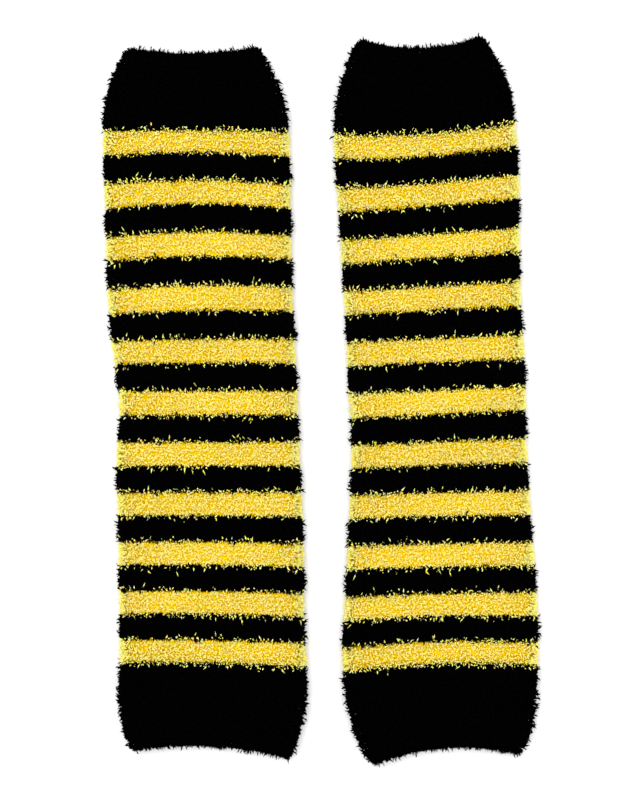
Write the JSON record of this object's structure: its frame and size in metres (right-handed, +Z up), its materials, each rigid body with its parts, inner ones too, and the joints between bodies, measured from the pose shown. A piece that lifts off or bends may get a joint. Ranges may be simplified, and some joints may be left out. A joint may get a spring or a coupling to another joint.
{
  "type": "pair of leg warmers",
  "caption": "Pair of fuzzy knitted leg warmers with yellow and black stripes and drawn-in black cuffs, laid flat side by side, open at both ends.",
  "frame": {"origin": "middle of the pair's bounding box, on the surface that the pair lies on", "axes": "+Z up off the surface, +Y along the leg warmers towards the top cuffs, +X towards the right one as the picture shows them"},
  "size_m": [0.2501, 0.4186, 0.0145],
  "materials": {
    "black_yarn": "matt, hairy microfibre pile",
    "yellow_yarn": "soft sheen on hairy microfibre pile, in bands with black ones"
  },
  "bodies": {
    "root": {"left_top_cuff": "black_yarn", "left_upper_tube": "yellow_yarn", "left_lower_tube": "yellow_yarn", "left_bottom_cuff": "black_yarn", "right_top_cuff": "black_yarn", "right_upper_tube": "yellow_yarn", "right_lower_tube": "yellow_yarn", "right_bottom_cuff": "black_yarn"}
  },
  "joints": []
}
